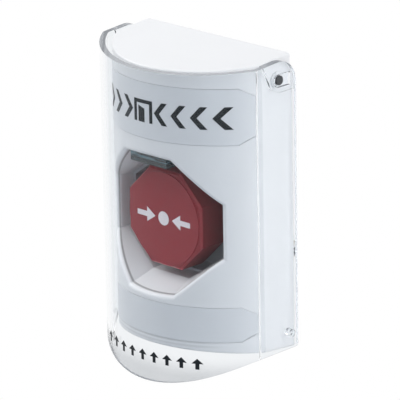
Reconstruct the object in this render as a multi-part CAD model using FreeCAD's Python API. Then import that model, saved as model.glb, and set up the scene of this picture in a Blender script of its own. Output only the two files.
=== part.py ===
import FreeCAD, Part
import math
import os

from FreeCAD import Vector

# Wall station for an emergency evacuation signal: a push button in an octagonal recess of a
# D-shaped housing, under a clear cover that lifts about two pins near the top.
# Millimetres, +Z up, the front looks along -Y. The origin is on the wall, midway between
# the two wall screws.

# Housing
housing_width = 78.6
housing_height = 122.0
housing_depth = 41.4
housing_side_depth = 17.0
housing_wall = 2.5
housing_edge_round = 0.8
end_slope = 5.0

# Recess for the button
recess_centre_z = -7.8
recess_across = 57.2
throat_height = 48.0
throat_setback = 13.1
throat_side_depth = 5.8
throat_side_half = 10.9
throat_land = 8.8
rim_round = 1.6
recess_block_wall = 3.4

# Label fields
label_thickness = 0.6
label_proud = 0.1
label_clearance = 0.15
label_end_gap = 1.0
label_corner_width = 3.7
label_corner_height = 3.3
header_centre_z = 39.5
header_height = 22.8
lower_centre_z = -46.6
lower_height = 14.4

# Status lens at the top of the recess
lens_width = 19.4
lens_drop = 4.2
lens_depth = 5.0
lens_setback = 2.2
lens_seat = 1.2

# Clear cover
cover_side_gap = 1.3
cover_front_gap = 2.0
cover_wall = 2.4
cover_side_depth = 21.7
cover_wall_gap = 0.5
cover_side_height = 121.0
chin_drop = 12.4
cover_kink_round = 2.6
cover_kink_inner_round = 0.8
cover_ear_round = 9.5
ear_pad_thickness = 0.7
ear_pad_radius = 5.2
ear_pad_front = 19.0
detent_radius = 1.5
detent_height = 0.7
detent_rear = 3.8
detent_up = 6.3
detent_clearance = 0.3

# Cover hinge
pin_depth = 9.1
pin_drop = 8.7
pin_radius = 1.9
pin_fit = 0.08
pin_below_surface = 0.5
pin_boss_radius = 4.5
pin_boss_length = 3.6
pivot_pad_radius = 3.4
pivot_pad_height = 0.4
pocket_half_height = 2.6
pocket_rear_length = 5.4
pocket_front_offset = 0.9
pocket_depth = 1.2

# Button and its guide
button_across = 40.4
button_setback = 10.1
button_skirt_depth = 12.7
button_face_thickness = 2.6
button_wall = 2.0
button_chamfer = 0.8
disc_radius = 19.2
disc_raise = 0.5
button_travel = 4.0
travel_spare = 3.0
sleeve_wall = 1.2
sleeve_lip = 1.2
sleeve_fit = 0.1
sleeve_floor = 2.5
flange_thickness = 2.0
flange_margin = 2.8
sleeve_ear_width = 12.0
sleeve_ear_end = 3.2
stem_radius = 4.0
stem_fit = 0.08
stem_tail_radius = 2.5
bush_radius = 5.6
bush_front = 3.0
bush_rear = 4.5
socket_radius = 6.0
socket_length = 5.0
clip_radius = 6.4
clip_groove_radius = 3.0
clip_thickness = 0.8
clip_gap = 0.1
clip_land = 0.9
spring_radius = 7.3
spring_wire = 0.55
spring_turns = 5.0

# Contacts behind the button
pusher_width = 26.0
pusher_height = 10.0
pusher_thickness = 2.2
plunger_spacing = 19.0
plunger_radius = 2.0
plunger_length = 13.0
plunger_fit = 0.15
carrier_width = 34.0
carrier_height = 42.0
carrier_wall = 2.5
carrier_plate_width = 37.0
carrier_plate_height = 56.0
carrier_plate_thickness = 2.0
carrier_spare = 1.0
block_width = 16.2
block_height = 57.4
block_depth = 18.0
block_middle_gap = 1.6
block_edge = 1.0
block_bore_rest = 2.0
block_shoulder = 2.4
terminal_inset = 5.6
terminal_from_rear = 3.0
terminal_pitch = 8.4
terminal_width = 6.8
terminal_length = 7.0
terminal_screw_bite = 4.0
terminal_thickness = 0.9

# Screws
screw_radius = 1.5
screw_head_radius = 2.7
screw_head_height = 1.6
terminal_head_radius = 2.5
terminal_head_height = 2.0
sleeve_screw_radius = 1.1
sleeve_screw_head = 2.1
sleeve_screw_length = 6.0
sleeve_screw_up = 28.0
carrier_screw_up = 13.5
block_screw_up = 18.5
screw_bite = 2.0

# Wall plate
plate_thickness = 1.5
plate_side_gap = 0.3
plate_top_gap = 9.0
plate_bottom_gap = 6.0
plate_corner = 3.0
plate_window_width = 44.0
plate_window_margin = 0.8
wall_screw_spacing = 83.3
wall_screw_hole_radius = 2.2
tab_inner = 12.0
tab_width = 12.0
tab_forward = 4.0
tab_rise = 5.0
hook_gap = 0.2
hook_thickness = 2.4
hook_reach = 4.5
flange_depth = 14.0
flange_width = 20.0
security_screw_depth = 9.0
security_boss_radius = 5.0
security_head_sink = 2.2

# Worked out from the sizes above
SLOPE = math.tan(math.radians(end_slope))
CORNER = math.tan(math.radians(22.5))
HALF_HEIGHT = housing_height / 2
HALF_WIDTH = housing_width / 2
plate_top = HALF_HEIGHT - plate_top_gap
plate_bottom = HALF_HEIGHT - plate_bottom_gap
cover_width = housing_width + 2 * (cover_side_gap + cover_wall)
cover_depth = housing_depth + cover_front_gap + cover_wall
pin_y = -pin_depth
pin_z = HALF_HEIGHT - pin_drop
throat_y = -housing_depth + throat_setback
land_y = throat_y + throat_land
button_y = -housing_depth + button_setback
cap_inner_y = button_y + button_face_thickness
skirt_y = button_y + button_skirt_depth
floor_y = skirt_y + button_travel + travel_spare
floor_rear_y = floor_y + sleeve_floor
bush_rear_y = floor_rear_y + bush_rear
clip_y = bush_rear_y + clip_gap
stem_shoulder_y = clip_y + clip_thickness + clip_land
pusher_rear_y = stem_shoulder_y + pusher_thickness
carrier_plate_y = pusher_rear_y + button_travel + carrier_spare
block_y = carrier_plate_y + carrier_plate_thickness
block_rear_y = block_y + block_depth
far = 2 * housing_height


def box(x0, x1, y0, y1, z0, z1):
    return Part.makeBox(x1 - x0, y1 - y0, z1 - z0, Vector(x0, y0, z0))


def rod_y(x, z, y0, y1, radius):
    return Part.makeCylinder(radius, y1 - y0, Vector(x, y0, z), Vector(0, 1, 0))


def rod_x(y, z, x0, x1, radius):
    start = min(x0, x1)
    return Part.makeCylinder(radius, abs(x1 - x0), Vector(start, y, z), Vector(1, 0, 0))


def rod_z(x, y, z0, z1, radius):
    return Part.makeCylinder(radius, z1 - z0, Vector(x, y, z0), Vector(0, 0, 1))


def face_of(points):
    return Part.Face(Part.makePolygon(points + points[:1]))


def group(solids):
    return Part.makeCompound(solids)


def octagon_points(across, y):
    """Corners of an upright octagon about the button's axis, flat side up."""
    half = across / 2
    short = half * CORNER
    corners = [(short, half), (half, short), (half, -short), (short, -half),
               (-short, -half), (-half, -short), (-half, short), (-short, half)]
    return [Vector(x, y, recess_centre_z + z) for x, z in corners]


def octagon_prism(across, y0, y1):
    return face_of(octagon_points(across, y0)).extrude(Vector(0, y1 - y0, 0))


def throat_points(y):
    """Corners of the throat: as wide as the opening, but lower."""
    half_width = recess_across / 2
    half_height = throat_height / 2
    short = half_height * CORNER
    upright = throat_side_half
    corners = [(short, half_height), (half_width, upright), (half_width, -upright),
               (short, -half_height), (-short, -half_height), (-half_width, -upright),
               (-half_width, upright), (-short, half_height)]
    return [Vector(x, y, recess_centre_z + z) for x, z in corners]


def throat_prism(margin, y0, y1):
    """Column on the throat's outline, moved outwards by a margin."""
    outline = face_of(throat_points(y0))
    if margin:
        outline = outline.makeOffset2D(margin, 2)
    return outline.extrude(Vector(0, y1 - y0, 0))


def front_arc(width, side_depth, depth):
    """Radius and centre depth of the arc that joins the two flat sides in the front."""
    rise = depth - side_depth
    radius = ((width / 2) ** 2 + rise ** 2) / (2 * rise)
    return radius, radius - depth


def inset(width, side_depth, depth, wall):
    """The same plan moved inwards by a wall, with the arc about its own centre."""
    radius, centre_y = front_arc(width, side_depth, depth)
    half = width / 2 - wall
    kink_y = centre_y - math.sqrt((radius - wall) ** 2 - half ** 2)
    return 2 * half, -kink_y, depth - wall


def plan_solid(width, side_depth, depth, rear_y):
    """Upright column on a plan with flat sides and an arc in front."""
    half = width / 2
    rear_left = Vector(-half, rear_y, 0)
    kink_left = Vector(-half, -side_depth, 0)
    kink_right = Vector(half, -side_depth, 0)
    rear_right = Vector(half, rear_y, 0)
    edges = [Part.makeLine(rear_left, kink_left),
             Part.Arc(kink_left, Vector(0, -depth, 0), kink_right).toShape(),
             Part.makeLine(kink_right, rear_right),
             Part.makeLine(rear_right, rear_left)]
    column = Part.Face(Part.Wire(edges)).extrude(Vector(0, 0, 2 * far))
    column.translate(Vector(0, 0, -far))
    return column


def between_ends(half_height, y_front, y_rear, bottom_half=None):
    """Side profile whose top, and bottom unless it is given, close in to the front."""
    top_rear = half_height - SLOPE * -y_rear
    top_front = half_height - SLOPE * -y_front
    low_rear = -top_rear if bottom_half is None else -bottom_half
    low_front = -top_front if bottom_half is None else -bottom_half
    points = [Vector(-far, y_rear, low_rear), Vector(-far, y_rear, top_rear),
              Vector(-far, y_front, top_front), Vector(-far, y_front, low_front)]
    return face_of(points).extrude(Vector(2 * far, 0, 0))


def housing_plan():
    return housing_width, housing_side_depth, housing_depth


def surface_y(x):
    """Depth of the housing's front surface at a distance from the middle."""
    radius, centre_y = front_arc(*housing_plan())
    return centre_y - math.sqrt(radius ** 2 - x ** 2)


def housing_body():
    column = plan_solid(*housing_plan(), 0)
    body = column.common(between_ends(HALF_HEIGHT, -2 * housing_depth, 0))
    rounded = [edge for edge in body.Edges if edge.BoundBox.YMin < -1]
    return body.makeFillet(housing_edge_round, rounded)


def housing_cavity():
    column = plan_solid(*inset(*housing_plan(), housing_wall), 1)
    return column.common(between_ends(HALF_HEIGHT - housing_wall, -2 * housing_depth, 1))


def recess_cutter():
    """Funnel whose eight facets run from the front surface to the throat. The upright sides
    go deeper than the rest before the land begins."""
    outer, inner = [], []
    side_y = surface_y(recess_across / 2) + throat_side_depth
    for corner, deep in zip(octagon_points(recess_across, 0), throat_points(throat_y)):
        if abs(corner.x) > recess_across / 4:
            deep.y = side_y
        on_surface = Vector(corner.x, surface_y(corner.x), corner.z)
        outer.append(on_surface + (on_surface - deep) * 0.6)
        inner.append(deep)
    facets = Part.makeLoft([Part.makePolygon(outer + outer[:1]),
                            Part.makePolygon(inner + inner[:1])], False, True)
    front = Vector(0, -2 * housing_depth, recess_centre_z)
    rear = Vector(0, side_y, recess_centre_z)
    lids = [face_of([tip, start, end]) for tip, ring in ((front, outer), (rear, inner))
            for start, end in zip(ring, ring[1:] + ring[:1])]
    skin = Part.makeShell(facets.Faces + lids)
    skin.sewShape()
    funnel = Part.Solid(Part.Shell(skin.Faces))
    if funnel.Volume < 0:
        funnel.reverse()
    return funnel.fuse(throat_prism(0, throat_y - 0.001, land_y + 1))


def round_rim(shell):
    """Round the edges where the recess meets the bowed front."""
    rim = []
    for edge in shell.Edges:
        middle = edge.valueAt((edge.FirstParameter + edge.LastParameter) / 2)
        x, up = abs(middle.x), abs(middle.z - recess_centre_z)
        if x > HALF_WIDTH - 1:
            continue
        within = max(x, up) < recess_across / 2 + recess_block_wall / 2
        if within and abs(middle.y - surface_y(x)) < 0.05:
            rim.append(edge)
    return shell.makeFillet(rim_round, rim)


def label_outline(centre_z, height, margin):
    """Field with its four corners cut off, wide enough to reach the flat sides."""
    half = HALF_WIDTH - label_end_gap + margin
    up = height / 2 + margin
    cut_x = half - label_corner_width
    cut_z = up - label_corner_height
    corners = [(cut_x, up), (half, cut_z), (half, -cut_z), (cut_x, -up),
               (-cut_x, -up), (-half, -cut_z), (-half, cut_z), (-cut_x, up)]
    points = [Vector(x, -2 * housing_depth, centre_z + z) for x, z in corners]
    return face_of(points).extrude(Vector(0, 2 * housing_depth, 0))


def front_skin(outside, inside):
    """Layer along the housing's front, from one distance outside to one inside."""
    outer = plan_solid(*inset(*housing_plan(), -outside), 0)
    inner = plan_solid(*inset(*housing_plan(), inside), 1)
    return outer.cut(inner)


def label(centre_z, height):
    layer = front_skin(label_proud, label_thickness - label_proud)
    return layer.common(label_outline(centre_z, height, 0))


def label_pocket(centre_z, height):
    layer = front_skin(1, label_thickness - label_proud)
    return layer.common(label_outline(centre_z, height, label_clearance))


def lens_box(margin):
    """Bar under the top edge of the recess, let into the facet above it."""
    low = recess_centre_z + recess_across / 2 - lens_drop
    front = -housing_depth + lens_setback
    half = lens_width / 2 + margin
    top = recess_centre_z + recess_across / 2 + lens_seat + margin
    return box(-half, half, front - margin, front + lens_depth + margin, low - margin, top)


def hook_ribs():
    front = -plate_thickness - tab_forward + plate_thickness + hook_gap
    low = HALF_HEIGHT - housing_wall - hook_reach
    return [box(side * (tab_inner + tab_width / 2) - tab_width / 2,
                side * (tab_inner + tab_width / 2) + tab_width / 2,
                front, front + hook_thickness, low, HALF_HEIGHT - housing_wall / 2)
            for side in (-1, 1)]


def build_housing():
    body = housing_body()
    block_across = recess_across + 2 * recess_block_wall
    block = octagon_prism(block_across, -2 * housing_depth, land_y).common(body)
    bosses = []
    for side in (-1, 1):
        outer_x = side * (HALF_WIDTH - housing_wall / 2)
        inner_x = side * (HALF_WIDTH - housing_wall - pin_boss_length)
        bosses.append(rod_x(pin_y, pin_z, inner_x, outer_x, pin_boss_radius))
        bosses.append(rod_x(pin_y, pin_z, outer_x, side * (HALF_WIDTH + pivot_pad_height),
                            pivot_pad_radius))
    security = rod_z(0, -security_screw_depth, -HALF_HEIGHT + housing_wall / 2, -plate_bottom,
                     security_boss_radius)
    shell = body.cut(housing_cavity())
    shell = shell.fuse([block, security] + bosses + hook_ribs())
    shell = round_rim(shell.cut(recess_cutter()).removeSplitter())
    cuts = [label_pocket(header_centre_z, header_height),
            label_pocket(lower_centre_z, lower_height),
            lens_box(0.05)]
    for side in (-1, 1):
        cuts.append(rod_x(pin_y, pin_z, side * (HALF_WIDTH - housing_wall - pin_boss_length - 1),
                          side * (HALF_WIDTH + 1), pin_radius))
        cuts.append(rod_y(0, recess_centre_z + side * sleeve_screw_up,
                          land_y - sleeve_screw_length, land_y + 1, sleeve_screw_radius))
    cuts.append(rod_z(0, -security_screw_depth, -HALF_HEIGHT - 1, -plate_bottom + 1,
                      screw_radius))
    cuts.append(rod_z(0, -security_screw_depth, -HALF_HEIGHT - 1, security_head_z(),
                      screw_head_radius + 0.3))
    for cutter in cuts:
        shell = shell.cut(cutter)
    return shell.removeSplitter()


def security_head_z():
    bottom = -HALF_HEIGHT + SLOPE * security_screw_depth
    return bottom + security_head_sink


def build_status_lens():
    return lens_box(0)


def cover_plan():
    return cover_width, cover_side_depth, cover_depth


def rounded_plan_solid(width, side_depth, depth, rear_y, kink_round):
    """The same column with its two upright edges in front rounded."""
    column = plan_solid(width, side_depth, depth, rear_y)
    kinks = [edge for edge in column.Edges
             if edge.BoundBox.ZLength > far and abs(edge.CenterOfMass.y + side_depth) < 0.01]
    return column.makeFillet(kink_round, kinks)


def cover_side_profile():
    """Side view of the cover: sloping top edge and a large round at the top rear."""
    rear = -cover_wall_gap
    low = -HALF_HEIGHT - 2 * chin_drop
    top_rear = HALF_HEIGHT - SLOPE * cover_wall_gap
    front = -2 * cover_depth
    points = [Vector(-far, rear, low), Vector(-far, rear, top_rear),
              Vector(-far, front, HALF_HEIGHT + SLOPE * front), Vector(-far, front, low)]
    profile = face_of(points).extrude(Vector(2 * far, 0, 0))
    corner = [edge for edge in profile.Edges
              if abs(edge.CenterOfMass.y - rear) < 0.01 and edge.CenterOfMass.z > HALF_HEIGHT / 2]
    upright = [edge for edge in corner if edge.BoundBox.XLength > far]
    return profile.makeFillet(cover_ear_round, upright)


def cover_front_profile():
    """Front view of the cover: straight sides and a bottom edge that sags in one arc."""
    half = cover_width / 2
    low = HALF_HEIGHT - cover_side_height
    top = far
    front = -2 * cover_depth
    left, right = Vector(-half, front, low), Vector(half, front, low)
    edges = [Part.Arc(left, Vector(0, front, low - chin_drop), right).toShape(),
             Part.makeLine(right, Vector(half, front, top)),
             Part.makeLine(Vector(half, front, top), Vector(-half, front, top)),
             Part.makeLine(Vector(-half, front, top), left)]
    return Part.Face(Part.Wire(edges)).extrude(Vector(0, 3 * cover_depth, 0))


def ear_pad(side):
    """Thicker patch round the pin on the inside of the cover's flat side."""
    x0 = side * (cover_width / 2 - cover_wall / 2)
    x1 = side * (cover_width / 2 - cover_wall - ear_pad_thickness)
    top = HALF_HEIGHT
    outline = face_of([Vector(x0, -ear_pad_front, top + 1), Vector(x0, 1, top + 1),
                       Vector(x0, 1, pin_z - ear_pad_radius),
                       Vector(x0, pin_y, pin_z - ear_pad_radius),
                       Vector(x0, pin_y - ear_pad_radius * 0.8, pin_z - ear_pad_radius * 0.6)])
    return outline.extrude(Vector(x1 - x0, 0, 0))


def hinge_pocket(side):
    """Shallow slot in the outer face, round in front of the pin and square at the rear."""
    outside = side * (cover_width / 2 + 1)
    bottom = side * (cover_width / 2 - pocket_depth)
    x0, x1 = min(outside, bottom), max(outside, bottom)
    front = pin_y - pocket_front_offset
    round_end = rod_x(front, pin_z, x0, x1, pocket_half_height)
    straight = box(x0, x1, front, pin_y + pocket_rear_length,
                   pin_z - pocket_half_height, pin_z + pocket_half_height)
    return round_end.fuse(straight)


def detent(side):
    """Small round nub near the lower rear corner, with a bump towards the housing."""
    y = -cover_wall_gap - detent_rear
    z = HALF_HEIGHT - cover_side_height + detent_up
    outside = side * (cover_width / 2 + detent_height)
    inside = side * (HALF_WIDTH + detent_clearance)
    return rod_x(y, z, inside, outside, detent_radius)


def build_cover():
    outer = rounded_plan_solid(*cover_plan(), -cover_wall_gap, cover_kink_round)
    inner = rounded_plan_solid(*inset(*cover_plan(), cover_wall), 1, cover_kink_inner_round)
    shell = outer.cut(inner)
    for side in (-1, 1):
        shell = shell.fuse(ear_pad(side))
    shell = shell.common(cover_side_profile()).common(cover_front_profile())
    for side in (-1, 1):
        shell = shell.fuse(detent(side))
        shell = shell.cut(hinge_pocket(side))
        shell = shell.cut(rod_x(pin_y, pin_z, side * HALF_WIDTH, side * cover_width,
                                pin_radius + pin_fit))
    return shell.removeSplitter()


def build_hinge_pin(side):
    """Pin pressed into the housing's boss, which the cover turns about."""
    inner_x = side * (HALF_WIDTH - housing_wall - pin_boss_length)
    outer_x = side * (cover_width / 2 - pin_below_surface)
    return rod_x(pin_y, pin_z, inner_x, outer_x, pin_radius)


def build_guide_sleeve():
    """Well behind the throat, with a flange, a floor and a bush for the stem."""
    sleeve = throat_prism(-sleeve_fit, land_y - sleeve_lip, floor_rear_y)
    flange = throat_prism(flange_margin, land_y, land_y + flange_thickness)
    well = throat_prism(-sleeve_fit - sleeve_wall, throat_y, floor_y)
    ear_reach = sleeve_screw_up + sleeve_ear_end
    ears = box(-sleeve_ear_width / 2, sleeve_ear_width / 2, land_y, land_y + flange_thickness,
               recess_centre_z - ear_reach, recess_centre_z + ear_reach)
    bush = rod_y(0, recess_centre_z, floor_y - bush_front, bush_rear_y, bush_radius)
    sleeve = sleeve.fuse([flange, ears]).cut(well)
    sleeve = sleeve.fuse(bush)
    sleeve = sleeve.cut(rod_y(0, recess_centre_z, throat_y, bush_rear_y + 1,
                              stem_radius + stem_fit))
    for side in (-1, 1):
        up = recess_centre_z + side * sleeve_screw_up
        sleeve = sleeve.cut(rod_y(0, up, land_y - 1, land_y + flange_thickness + 1,
                                  sleeve_screw_radius))
        pilot = recess_centre_z + side * carrier_screw_up
        sleeve = sleeve.cut(rod_y(0, pilot, floor_rear_y - screw_bite, floor_rear_y + 1,
                                  screw_radius))
    return sleeve.removeSplitter()


def screw_y(x, z, tip_y, seat_y, radius, head_radius, head_height):
    """Screw driven from behind: head on the seat, shank towards the front."""
    shank = rod_y(x, z, tip_y, seat_y, radius)
    head = rod_y(x, z, seat_y, seat_y + head_height, head_radius)
    return shank.fuse(head).removeSplitter()


def build_sleeve_screws():
    seat = land_y + flange_thickness
    return group([screw_y(0, recess_centre_z + side * sleeve_screw_up,
                          land_y - sleeve_screw_length, seat, sleeve_screw_radius,
                          sleeve_screw_head, screw_head_height) for side in (-1, 1)])


def build_button_cap():
    """Octagonal mushroom head with a low round disc on its face and a socket inside."""
    head = octagon_prism(button_across, button_y, skirt_y)
    front = [edge for edge in head.Edges if edge.BoundBox.YMax < button_y + 0.01]
    head = head.makeChamfer(button_chamfer, front)
    disc = rod_y(0, recess_centre_z, button_y - disc_raise, button_y + 1, disc_radius)
    hollow = octagon_prism(button_across - 2 * button_wall, cap_inner_y, skirt_y + 1)
    socket = rod_y(0, recess_centre_z, cap_inner_y - 0.5, cap_inner_y + socket_length,
                   socket_radius)
    cap = head.fuse(disc).cut(hollow).fuse(socket)
    cap = cap.cut(rod_y(0, recess_centre_z, cap_inner_y, skirt_y, stem_radius))
    return cap.removeSplitter()


def build_button_stem():
    main = rod_y(0, recess_centre_z, cap_inner_y, stem_shoulder_y, stem_radius)
    groove = rod_y(0, recess_centre_z, clip_y, clip_y + clip_thickness, stem_radius + 1)
    core = rod_y(0, recess_centre_z, clip_y, clip_y + clip_thickness, clip_groove_radius)
    tail = rod_y(0, recess_centre_z, stem_shoulder_y, pusher_rear_y, stem_tail_radius)
    return main.cut(groove).fuse([core, tail]).removeSplitter()


def build_stem_clip():
    """Open ring in the stem's groove, which stops the button at rest."""
    ring = rod_y(0, recess_centre_z, clip_y, clip_y + clip_thickness, clip_radius)
    ring = ring.cut(rod_y(0, recess_centre_z, clip_y - 1, clip_y + 2, clip_groove_radius))
    mouth = box(-clip_groove_radius, clip_groove_radius, clip_y - 1, clip_y + 2,
                recess_centre_z - 2 * clip_radius, recess_centre_z)
    return ring.cut(mouth)


def build_return_spring():
    """Coil round the stem, between the sleeve's floor and the cap."""
    start = cap_inner_y + spring_wire
    height = floor_y - cap_inner_y - 2 * spring_wire
    helix = Part.makeHelix(height / spring_turns, height, spring_radius)
    section = Part.Wire(Part.makeCircle(spring_wire, Vector(spring_radius, 0, 0),
                                        Vector(0, 1, 0)))
    coil = Part.Wire(helix.Edges).makePipeShell([section], True, True)
    coil.rotate(Vector(0, 0, 0), Vector(1, 0, 0), -90)
    coil.translate(Vector(0, start, recess_centre_z))
    return coil


def build_pusher_plate():
    half = pusher_width / 2
    up = pusher_height / 2
    bar = box(-half, half, stem_shoulder_y, pusher_rear_y,
              recess_centre_z - up, recess_centre_z + up)
    upright = [edge for edge in bar.Edges if edge.BoundBox.YLength > pusher_thickness / 2]
    bar = bar.makeFillet(up * 0.6, upright)
    return bar.cut(rod_y(0, recess_centre_z, stem_shoulder_y - 1, pusher_rear_y + 1,
                         stem_tail_radius))


def plunger_x(side):
    return side * plunger_spacing / 2


def build_contact_plunger(side):
    return rod_y(plunger_x(side), recess_centre_z, pusher_rear_y,
                 pusher_rear_y + plunger_length, plunger_radius)


def build_contact_carrier():
    """Box-section frame that holds the contact blocks behind the sleeve."""
    def frame(width, height, y0, y1):
        return box(-width / 2, width / 2, y0, y1, recess_centre_z - height / 2,
                   recess_centre_z + height / 2)
    carrier = frame(carrier_width, carrier_height, floor_rear_y, carrier_plate_y + 0.5)
    carrier = carrier.cut(frame(carrier_width - 2 * carrier_wall,
                                carrier_height - 2 * carrier_wall,
                                floor_rear_y - 1, carrier_plate_y))
    carrier = carrier.fuse(frame(carrier_plate_width, carrier_plate_height,
                                 carrier_plate_y, block_y))
    for side in (-1, 1):
        carrier = carrier.cut(rod_y(plunger_x(side), recess_centre_z, carrier_plate_y - 1,
                                    block_y + 1, plunger_radius + 2 * plunger_fit))
        carrier = carrier.cut(rod_y(plunger_x(side), recess_centre_z + block_screw_up,
                                    carrier_plate_y - 1, block_y + 1, screw_radius))
        up = recess_centre_z + side * carrier_screw_up
        carrier = carrier.cut(rod_y(0, up, carrier_plate_y - 1, block_y + 1, screw_radius))
        carrier = carrier.cut(rod_y(0, up, block_y - screw_head_height, block_y + 1,
                                    screw_head_radius))
    return carrier.removeSplitter()


def build_carrier_screws():
    seat = block_y - screw_head_height
    return group([screw_y(0, recess_centre_z + side * carrier_screw_up,
                          floor_rear_y - screw_bite, seat, screw_radius,
                          screw_head_radius, screw_head_height) for side in (-1, 1)])


def terminal_z():
    return recess_centre_z - block_height / 2 + terminal_inset


def terminal_y(row):
    """Depth of a terminal screw: the first row is at the rear, the second in front of it."""
    return block_rear_y - terminal_from_rear - row * terminal_pitch


def block_outer_x(side):
    return side * (block_middle_gap / 2 + block_width)


def build_contact_block(side):
    """Moulded switch block with a bore for its plunger and a sunk screw at the rear."""
    inner_x = side * block_middle_gap / 2
    outer_x = block_outer_x(side)
    block = box(min(inner_x, outer_x), max(inner_x, outer_x), block_y, block_rear_y,
                recess_centre_z - block_height / 2, recess_centre_z + block_height / 2)
    slim_x = outer_x - side * block_shoulder
    shoulder_z = terminal_z() + terminal_width / 2 + block_edge
    block = block.cut(box(min(slim_x, outer_x), max(slim_x, outer_x), block_y, block_rear_y,
                          shoulder_z, recess_centre_z + block_height / 2))
    rear = [edge for edge in block.Edges if edge.BoundBox.YMin > block_rear_y - 0.01]
    block = block.makeChamfer(block_edge, rear)
    x = plunger_x(side)
    block = block.cut(rod_y(x, recess_centre_z, block_y - 1,
                            pusher_rear_y + plunger_length + button_travel + block_bore_rest,
                            plunger_radius + plunger_fit))
    up = recess_centre_z + block_screw_up
    block = block.cut(rod_y(x, up, block_y - 1, block_rear_y + 1, screw_radius))
    block = block.cut(rod_y(x, up, block_rear_y - 2 * screw_head_height, block_rear_y + 1,
                            screw_head_radius + 0.2))
    for row in (0, 1):
        block = block.cut(rod_x(terminal_y(row), terminal_z(),
                                outer_x - side * terminal_screw_bite, outer_x + side,
                                screw_radius))
    return block


def build_block_screws():
    seat = block_rear_y - 2 * screw_head_height
    return group([screw_y(plunger_x(side), recess_centre_z + block_screw_up, carrier_plate_y,
                          seat, screw_radius, screw_head_radius, screw_head_height)
                  for side in (-1, 1)])


def build_terminals(side):
    """Two clamp strips at the lower end of a block's outer side, one behind the other."""
    outer_x = block_outer_x(side)
    face_x = outer_x + side * terminal_thickness
    strips = []
    for row in (0, 1):
        rear = block_rear_y - block_edge - row * terminal_pitch
        strip = box(min(outer_x, face_x), max(outer_x, face_x), rear - terminal_length, rear,
                    terminal_z() - terminal_width / 2, terminal_z() + terminal_width / 2)
        strips.append(strip.cut(rod_x(terminal_y(row), terminal_z(), outer_x - side,
                                      face_x + side, screw_radius)))
    return group(strips)


def build_terminal_screws():
    screws = []
    for side in (-1, 1):
        for row in (0, 1):
            seat = block_outer_x(side) + side * terminal_thickness
            tip = block_outer_x(side) - side * terminal_screw_bite
            shank = rod_x(terminal_y(row), terminal_z(), tip, seat, screw_radius)
            head = rod_x(terminal_y(row), terminal_z(), seat,
                         seat + side * terminal_head_height, terminal_head_radius)
            screws.append(shank.fuse(head).removeSplitter())
    return group(screws)


def build_back_plate():
    """Steel plate for the wall box, with two hooked tabs and a flange for the lock screw."""
    half = HALF_WIDTH - housing_wall - plate_side_gap
    sheet = box(-half, half, -plate_thickness, 0, -plate_bottom, plate_top)
    corners = [edge for edge in sheet.Edges if edge.BoundBox.YLength > plate_thickness / 2]
    sheet = sheet.makeFillet(plate_corner, corners)
    pieces = []
    for side in (-1, 1):
        middle = side * (tab_inner + tab_width / 2)
        x0, x1 = middle - tab_width / 2, middle + tab_width / 2
        front = -tab_forward - plate_thickness
        pieces.append(box(x0, x1, front, 0, plate_top - plate_thickness, plate_top))
        pieces.append(box(x0, x1, front, -tab_forward, plate_top - plate_thickness,
                          plate_top + tab_rise))
    pieces.append(box(-flange_width / 2, flange_width / 2, -flange_depth, 0,
                      -plate_bottom, -plate_bottom + plate_thickness))
    plate = sheet.fuse(pieces)
    half_window = plate_window_width / 2
    reach = block_height / 2 + plate_window_margin
    cuts = [box(-half_window, half_window, -plate_thickness - 1, 1,
                recess_centre_z - reach, recess_centre_z + reach),
            rod_z(0, -security_screw_depth, -plate_bottom - 1, -plate_bottom + 3, screw_radius)]
    for end in (-1, 1):
        cuts.append(rod_y(0, end * wall_screw_spacing / 2, -plate_thickness - 1, 1,
                          wall_screw_hole_radius))
    for cutter in cuts:
        plate = plate.cut(cutter)
    return plate.removeSplitter()


def build_security_screw():
    seat = security_head_z()
    tip = -plate_bottom + plate_thickness + screw_bite
    shank = rod_z(0, -security_screw_depth, seat, tip, screw_radius)
    head = rod_z(0, -security_screw_depth, seat - screw_head_height, seat, screw_head_radius)
    return shank.fuse(head).removeSplitter()


def pieces():
    yield "housing", build_housing()
    yield "header_label", label(header_centre_z, header_height)
    yield "lower_label", label(lower_centre_z, lower_height)
    yield "status_lens", build_status_lens()
    yield "cover", build_cover()
    yield "guide_sleeve", build_guide_sleeve()
    yield "sleeve_screws", build_sleeve_screws()
    yield "button_cap", build_button_cap()
    yield "button_stem", build_button_stem()
    yield "stem_clip", build_stem_clip()
    yield "return_spring", build_return_spring()
    yield "pusher_plate", build_pusher_plate()
    yield "contact_carrier", build_contact_carrier()
    yield "carrier_screws", build_carrier_screws()
    yield "block_screws", build_block_screws()
    yield "terminal_screws", build_terminal_screws()
    yield "back_plate", build_back_plate()
    yield "security_screw", build_security_screw()
    for side, word in ((-1, "left"), (1, "right")):
        yield "hinge_pin_" + word, build_hinge_pin(side)
        yield "contact_plunger_" + word, build_contact_plunger(side)
        yield "contact_block_" + word, build_contact_block(side)
        yield "terminals_" + word, build_terminals(side)


os.makedirs("parts", exist_ok=True)
for name, shape in pieces():
    shape.exportStep("parts/" + name + ".step")
    print(name, len(shape.Solids), round(shape.Volume, 1), shape.isValid())
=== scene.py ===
"""Looks of a wall station with an octagonal push button under a clear lift-up cover.

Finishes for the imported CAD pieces, the printed signs, the screws, clamps and spring in full
detail, and a plain stage. Lengths in the code are millimetres until a mesh is made.
"""

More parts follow.
